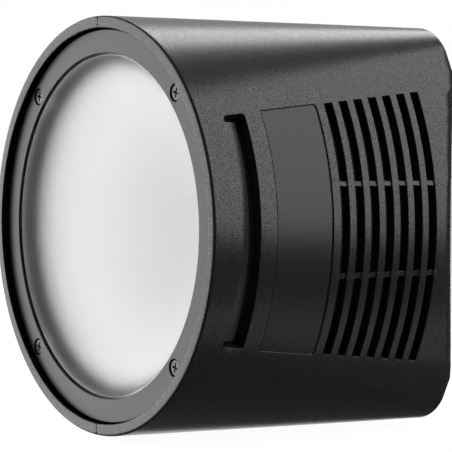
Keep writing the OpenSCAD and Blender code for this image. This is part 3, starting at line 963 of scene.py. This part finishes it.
SOFTBOX_DISTANCE = 0.9
FLOOR_HALF = 4.0
FLOOR_GAP = 0.0004
FLOOR_SHADE = 0.1
FLOOR_GLOW = 0.96
ROOM_LIGHT = 0.1
CHAMBER_POWER = 0.0082
CHAMBER_WIDTH = 0.0575
CHAMBER_GAP = 0.4
# Where the photograph was taken from, its direction of view and its upward direction.
CAMERA_PLACE = (0.34460, -0.26767, 0.01501)
CAMERA_FORWARD = (-0.82568, 0.56292, -0.03706)
CAMERA_UP = (-0.03295, 0.01747, 0.99930)
CAMERA_SENSOR = 36.0
CAMERA_LENS = 176.74
CAMERA_NEAR = 0.01


def add_softbox(name, around, lean, across, along, power):
    """A soft box that faces the head from `around` degrees about its axis and `lean` degrees back."""
    light = bpy.data.lights.new(name, "AREA")
    light.shape = "RECTANGLE"
    light.size, light.size_y = across, along
    light.energy = power
    lamp = bpy.data.objects.new(name, light)
    bpy.context.scene.collection.objects.link(lamp)
    turn, tip = math.radians(around), math.radians(lean)
    tangent = Vector((-math.sin(turn), 0, math.cos(turn)))
    towards = Vector((math.cos(turn) * math.cos(tip), math.sin(tip), math.sin(turn) * math.cos(tip)))
    place = Matrix((tangent, towards.cross(tangent), towards)).transposed().to_4x4()
    place.translation = Vector((0, FRONT_Y / 2, 0)) + towards * SOFTBOX_DISTANCE
    lamp.matrix_world = place


def add_floor():
    """A plain pale floor that neither lights the head nor shows in its gloss."""
    bm = bmesh.new()
    signs = ((-1, -1), (1, -1), (1, 1), (-1, 1))
    level_z = cad_box[0][2] - FLOOR_GAP
    bm.faces.new([bm.verts.new((sx * FLOOR_HALF, sy * FLOOR_HALF, level_z)) for sx, sy in signs])
    shade = (FLOOR_SHADE, FLOOR_SHADE, FLOOR_SHADE)
    glow = {"Emission_Color": (1, 1, 1, 1), "Emission_Strength": FLOOR_GLOW}
    material = new_material("floor_paint", shade, 0.9, **glow)
    floor = new_piece("floor", bm, material)
    floor.visible_diffuse = False
    floor.visible_glossy = False
    floor.visible_transmission = False
    floor.visible_shadow = False


def add_world():
    """White for the camera, and a dim even light for everything else."""
    world = bpy.data.worlds.new("studio")
    bpy.context.scene.world = world
    world.use_nodes = True
    nodes, links = world.node_tree.nodes, world.node_tree.links
    backdrop = nodes["Background"]
    backdrop.inputs["Color"].default_value = (1, 1, 1, 1)
    path = nodes.new("ShaderNodeLightPath")
    strength = nodes.new("ShaderNodeMapRange")
    strength.inputs["To Min"].default_value = ROOM_LIGHT
    strength.inputs["To Max"].default_value = 1.0
    links.new(path.outputs["Is Camera Ray"], strength.inputs["Value"])
    links.new(strength.outputs["Result"], backdrop.inputs["Strength"])


def add_chamber_light():
    """The modelling lamp: a disc close behind the glass that makes it glow evenly."""
    light = bpy.data.lights.new("modelling_lamp", "AREA")
    light.shape = "DISK"
    light.size = CHAMBER_WIDTH
    light.energy = CHAMBER_POWER
    lamp = bpy.data.objects.new("modelling_lamp", light)
    bpy.context.scene.collection.objects.link(lamp)
    lamp.location = (0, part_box("front_lens")[1].y + CHAMBER_GAP * MM, 0)
    lamp.rotation_euler = (math.radians(90), 0, 0)


def add_camera():
    """A camera at the photograph's viewing angle."""
    camera = bpy.data.cameras.new("camera")
    camera.sensor_width = CAMERA_SENSOR
    camera.lens = CAMERA_LENS
    camera.clip_start = CAMERA_NEAR
    seat = bpy.data.objects.new("camera", camera)
    bpy.context.scene.collection.objects.link(seat)
    forward = Vector(CAMERA_FORWARD).normalized()
    side = forward.cross(Vector(CAMERA_UP)).normalized()
    place = Matrix((side, side.cross(forward), -forward)).transposed().to_4x4()
    place.translation = Vector(CAMERA_PLACE)
    seat.matrix_world = place
    bpy.context.scene.camera = seat


def add_lights():
    """Soft boxes: one for each broad highlight of the photograph, and one for the hidden side."""
    add_softbox("top_strip", around=120, lean=32, across=0.32, along=0.9, power=3.85)
    add_softbox("left_box", around=158, lean=32, across=0.75, along=0.9, power=0.9)
    add_softbox("right_box", around=38, lean=32, across=1.17, along=0.9, power=6.8)
    add_softbox("low_strip", around=-50, lean=32, across=0.25, along=0.9, power=0.28)
    add_softbox("front_box", around=178, lean=-35, across=0.9, along=0.8, power=5.9)
    add_softbox("far_box", around=190, lean=32, across=0.6, along=0.9, power=2.0)


add_camera()
add_floor()
add_world()
add_lights()
add_chamber_light()
build_pieces(make_materials())
bpy.context.scene.view_settings.view_transform = "Standard"
